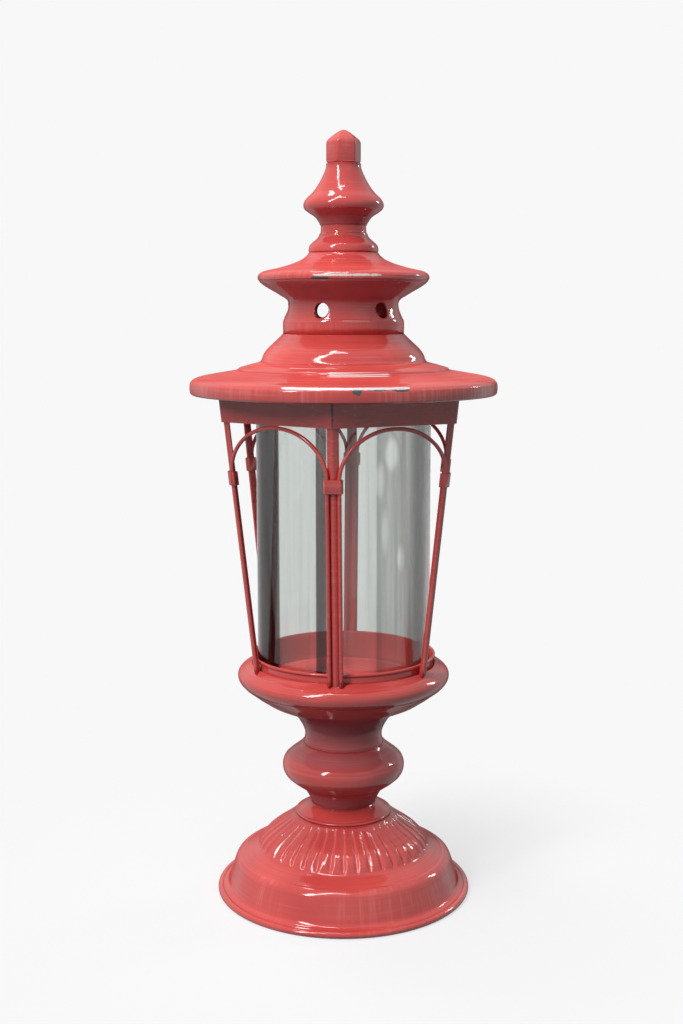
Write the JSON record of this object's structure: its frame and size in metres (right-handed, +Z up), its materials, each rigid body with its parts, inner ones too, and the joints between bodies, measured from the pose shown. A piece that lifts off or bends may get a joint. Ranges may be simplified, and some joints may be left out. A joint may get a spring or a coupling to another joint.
{
  "type": "candle lantern",
  "caption": "Red enamelled sheet-steel candle lantern on a turned pedestal, with a six-sided frame of arched wires round a loose glass cylinder and a domed roof that lifts off",
  "frame": {"origin": "centre of the foot, on the floor", "axes": "+Z up, -Y towards the front corner post, +X to the right of someone facing the front"},
  "size_m": [0.222, 0.222, 0.5602],
  "materials": {
    "red_enamel": "glossy enamel, chipped to grey steel on some edges",
    "clear_glass": "clear polished",
    "zinc_steel": "dull zinc plate"
  },
  "bodies": {
    "stand": {"foot_shell": "red_enamel", "foot_collar": "red_enamel", "stem_bulb": "red_enamel", "bowl_shell": "red_enamel", "saucer_shell": "red_enamel", "candle_pan": "red_enamel", "tie_bolt": "zinc_steel", "tie_washer": "zinc_steel", "tie_nut": "zinc_steel", "post_front": "red_enamel", "post_front_right": "red_enamel", "post_back_right": "red_enamel", "post_back": "red_enamel", "post_back_left": "red_enamel", "post_front_left": "red_enamel", "strap_front": "red_enamel", "strap_front_right": "red_enamel", "strap_back_right": "red_enamel", "strap_back": "red_enamel", "strap_back_left": "red_enamel", "strap_front_left": "red_enamel", "arch_wire_front_right": "red_enamel", "arch_wire_back_right": "red_enamel", "arch_wire_back_left": "red_enamel", "arch_wire_front_left": "red_enamel", "hex_band": "red_enamel"},
    "glass": {"glass_cylinder": "clear_glass"},
    "roof": {"roof_shell": "red_enamel", "locator_ring": "red_enamel", "bridge_bar": "zinc_steel", "bridge_washer": "zinc_steel", "bridge_nut": "zinc_steel", "chimney": "red_enamel", "upper_cap": "red_enamel", "finial_spool": "red_enamel", "finial_bead": "red_enamel", "finial_knob": "red_enamel", "finial_rod": "zinc_steel"}
  },
  "joints": [
    {"name": "roof_lift", "type": "slide", "parent": "stand", "child": "roof", "axis": [0, 0, 1], "range_m": [0, 0.36]},
    {"name": "glass_lift", "type": "slide", "parent": "stand", "child": "glass", "axis": [0, 0, 1], "range_m": [0, 0.216]}
  ],
  "couplings": [
    {"joint": "glass_lift", "follows": "roof_lift", "ratio": 0.6}
  ]
}
